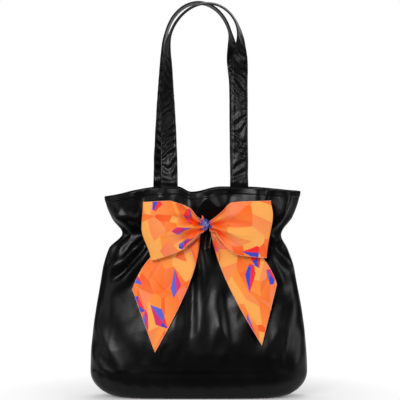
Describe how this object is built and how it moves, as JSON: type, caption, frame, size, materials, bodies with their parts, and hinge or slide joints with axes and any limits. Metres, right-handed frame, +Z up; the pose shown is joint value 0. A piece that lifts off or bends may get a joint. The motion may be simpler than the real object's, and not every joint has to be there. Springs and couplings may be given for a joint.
{
  "type": "gathered tote bag",
  "caption": "Black satin tote with a drawn-in gathered neck, a flared collar, long shoulder straps and a broad printed ribbon tied in a bow at the front.",
  "frame": {"origin": "middle of the flat base's underside", "axes": "+Z up, -Y to the front where the bow is, +X to the viewer's right"},
  "size_m": [0.348, 0.1128, 0.6318],
  "materials": {
    "black_satin": "soft satin sheen",
    "lining_cloth": "plain dull lining",
    "channel_tape": "matt woven tape",
    "printed_ribbon": "satin ribbon printed with warm shards",
    "ribbon_knot": "satin ribbon, the print's blue",
    "base_board": "plain stiffener board"
  },
  "bodies": {
    "bag": {"front_panel": "black_satin", "back_panel": "black_satin", "base_panel": "black_satin", "base_board": "base_board", "front_lining": "lining_cloth", "back_lining": "lining_cloth", "lining_floor": "lining_cloth", "front_facing": "black_satin", "back_facing": "black_satin", "front_casing": "channel_tape", "back_casing": "channel_tape", "ribbon_neck_run": "printed_ribbon", "bow_knot": "ribbon_knot", "front_left_strap_end": "black_satin", "front_right_strap_end": "black_satin", "rear_left_strap_end": "black_satin", "rear_right_strap_end": "black_satin"},
    "front_handle": {"front_handle": "black_satin"},
    "rear_handle": {"rear_handle": "black_satin"},
    "left_loop": {"bow_left_loop": "printed_ribbon"},
    "right_loop": {"bow_right_loop": "printed_ribbon"},
    "left_tail": {"bow_left_tail": "printed_ribbon"},
    "right_tail": {"bow_right_tail": "printed_ribbon"}
  },
  "joints": [
    {"name": "front_handle_fold", "type": "hinge", "parent": "bag", "child": "front_handle", "pos_m": [0, -0.036, 0.3346], "axis": [1, 0, 0], "range_deg": [0, 90]},
    {"name": "rear_handle_fold", "type": "hinge", "parent": "bag", "child": "rear_handle", "pos_m": [0, 0.036, 0.3346], "axis": [-1, 0, 0], "range_deg": [0, 165]},
    {"name": "left_loop_swing", "type": "hinge", "parent": "bag", "child": "left_loop", "pos_m": [0.012, -0.03823, 0.276], "axis": [0, 0, 1], "range_deg": [0, 30]},
    {"name": "right_loop_swing", "type": "hinge", "parent": "bag", "child": "right_loop", "pos_m": [0.012, -0.03823, 0.276], "axis": [0, 0, -1], "range_deg": [0, 30]},
    {"name": "left_tail_swing", "type": "hinge", "parent": "bag", "child": "left_tail", "pos_m": [0.012, -0.03823, 0.276], "axis": [0, 1, 0], "range_deg": [-5, 10]},
    {"name": "right_tail_swing", "type": "hinge", "parent": "bag", "child": "right_tail", "pos_m": [0.012, -0.03823, 0.276], "axis": [0, -1, 0], "range_deg": [-5, 10]}
  ]
}
